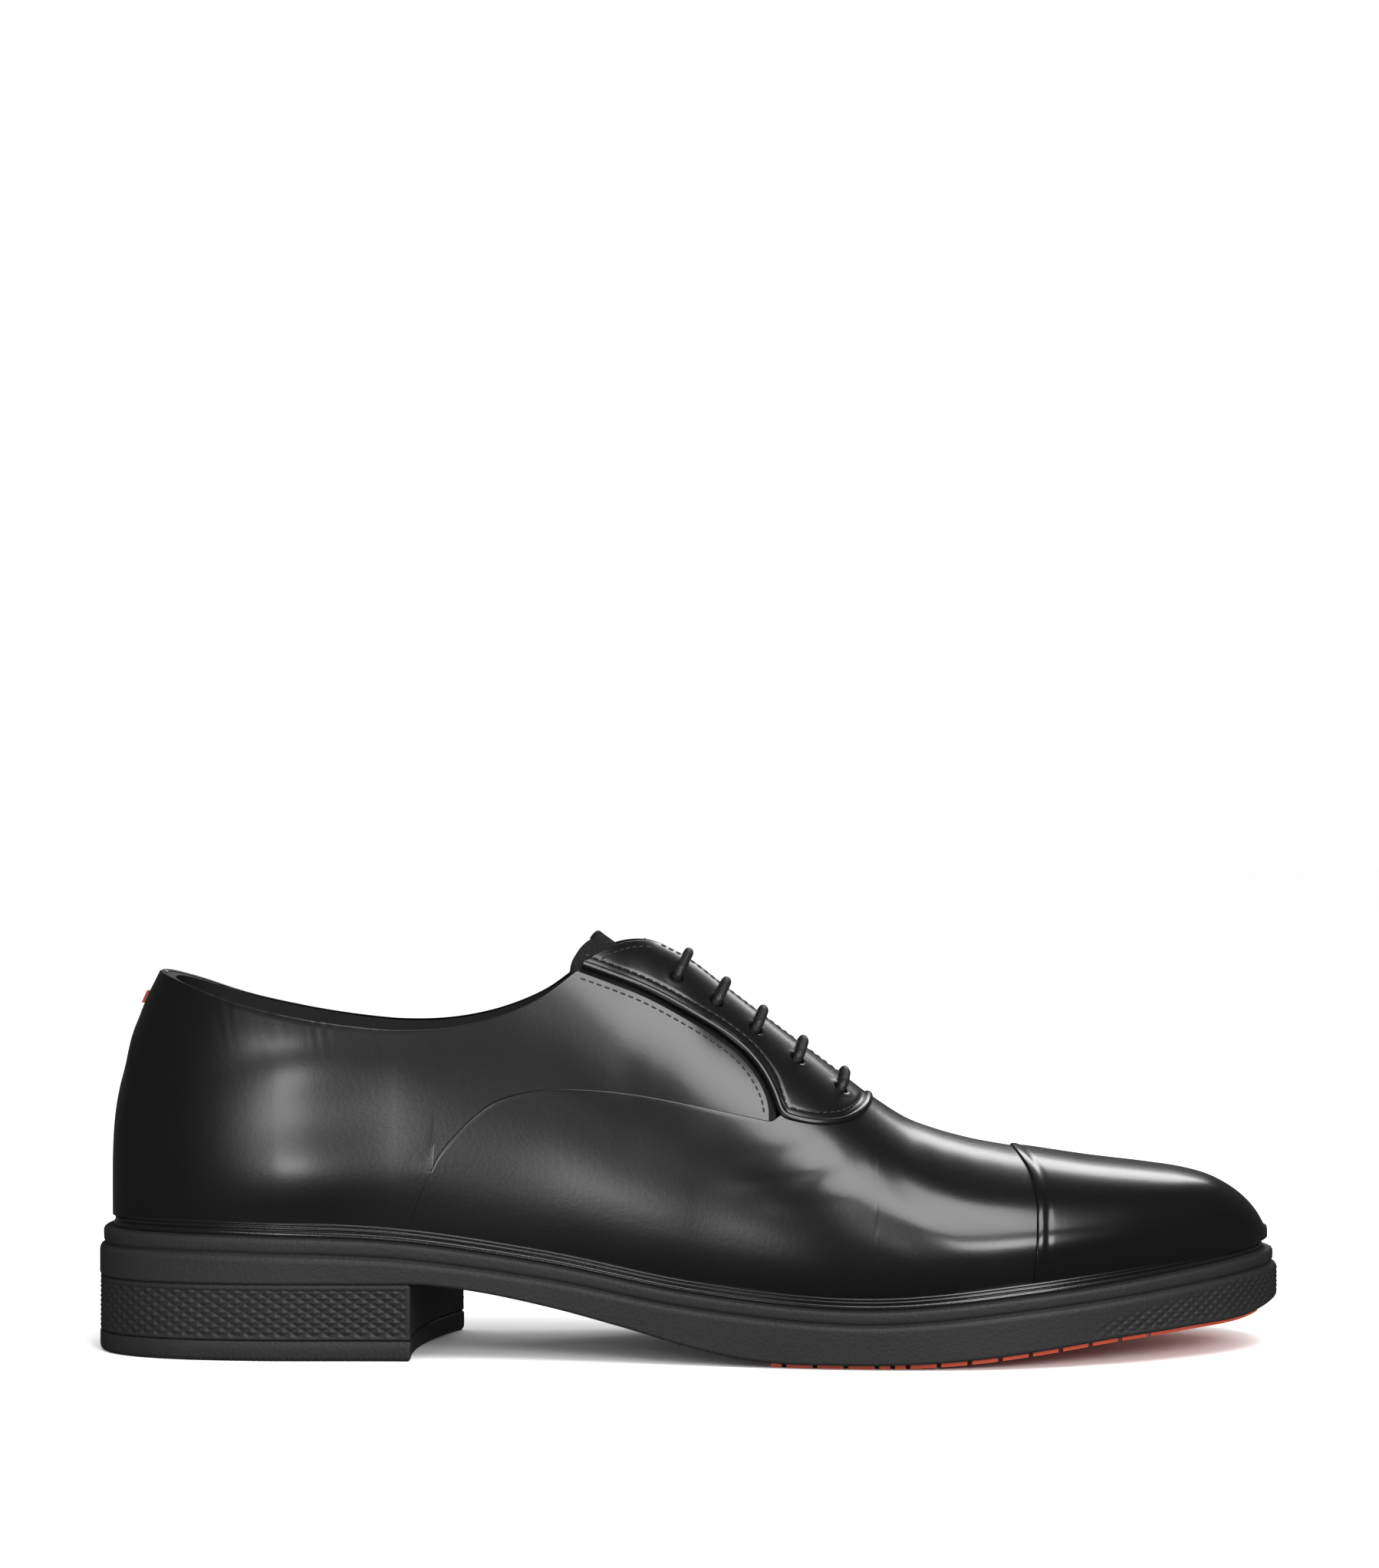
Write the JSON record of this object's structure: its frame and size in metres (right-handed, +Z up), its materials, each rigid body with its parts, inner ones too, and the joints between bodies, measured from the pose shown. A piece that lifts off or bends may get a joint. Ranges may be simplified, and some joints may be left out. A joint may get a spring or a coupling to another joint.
{
  "type": "oxford shoe",
  "caption": "Men's plain-cap oxford shoe with elasticated facings, round laces, rand, rubber sole and block heel.",
  "frame": {"origin": "on the floor, midway between heel edge and toe edge and midway across the sole", "axes": "+X towards the toe, +Y towards the inner (medial) side of this right shoe, +Z up"},
  "size_m": [0.3053, 0.1011, 0.1065],
  "materials": {
    "backing": "woven cotton backing",
    "board": "cellulose insole board",
    "cork": "cork filler",
    "eyelet_metal": "black lacquered metal",
    "foam": "closed-cell foam",
    "lace_cord": "round waxed black cord",
    "lining_leather": "matt dark lining leather",
    "polished_leather": "smooth polished box calf, near black",
    "rand_rubber": "glossy black rubber",
    "sole_rubber": "matt black rubber, fine grain",
    "steel": "spring steel",
    "stiffener": "pressed fibre sheet",
    "tab_thread": "orange thread",
    "textile": "black ribbed textile",
    "tread_rubber": "orange-red rubber"
  },
  "bodies": {
    "rearfoot": {"vamp": "polished_leather", "quarter_lateral": "polished_leather", "quarter_medial": "polished_leather", "facing_lateral": "polished_leather", "facing_medial": "polished_leather", "facing_piping": "polished_leather", "heel_counter": "stiffener", "vamp_backing": "backing", "facing_backing_lateral": "backing", "facing_backing_medial": "backing", "quarter_lining_lateral": "lining_leather", "quarter_lining_medial": "lining_leather", "heel_lining": "lining_leather", "vamp_lining": "backing", "gore_lateral": "textile", "gore_medial": "textile", "blind_eyelets": "eyelet_metal", "lace": "lace_cord", "tongue": "polished_leather", "tongue_lining": "lining_leather", "tongue_top": "textile", "back_tab": "tab_thread", "welt_rand": "rand_rubber", "outsole": "sole_rubber", "heel_block": "sole_rubber", "heel_top_piece": "sole_rubber", "tread_rear": "tread_rubber", "insole_board": "board", "filler": "cork", "shank": "steel", "footbed": "foam", "heel_cushion": "foam", "sock": "lining_leather"},
    "forefoot": {"toe_cap": "polished_leather", "toe_puff": "stiffener", "tread_front": "tread_rubber"}
  },
  "joints": [
    {"name": "ball_flex", "type": "hinge", "parent": "rearfoot", "child": "forefoot", "pos_m": [0.05, 0, 0.004], "axis": [0, -1, 0], "range_deg": [0, 25], "stiffness_Nm_per_rad": 2, "deforming": ["vamp", "vamp_backing", "vamp_lining", "outsole", "welt_rand", "insole_board", "footbed", "sock", "filler"]}
  ]
}
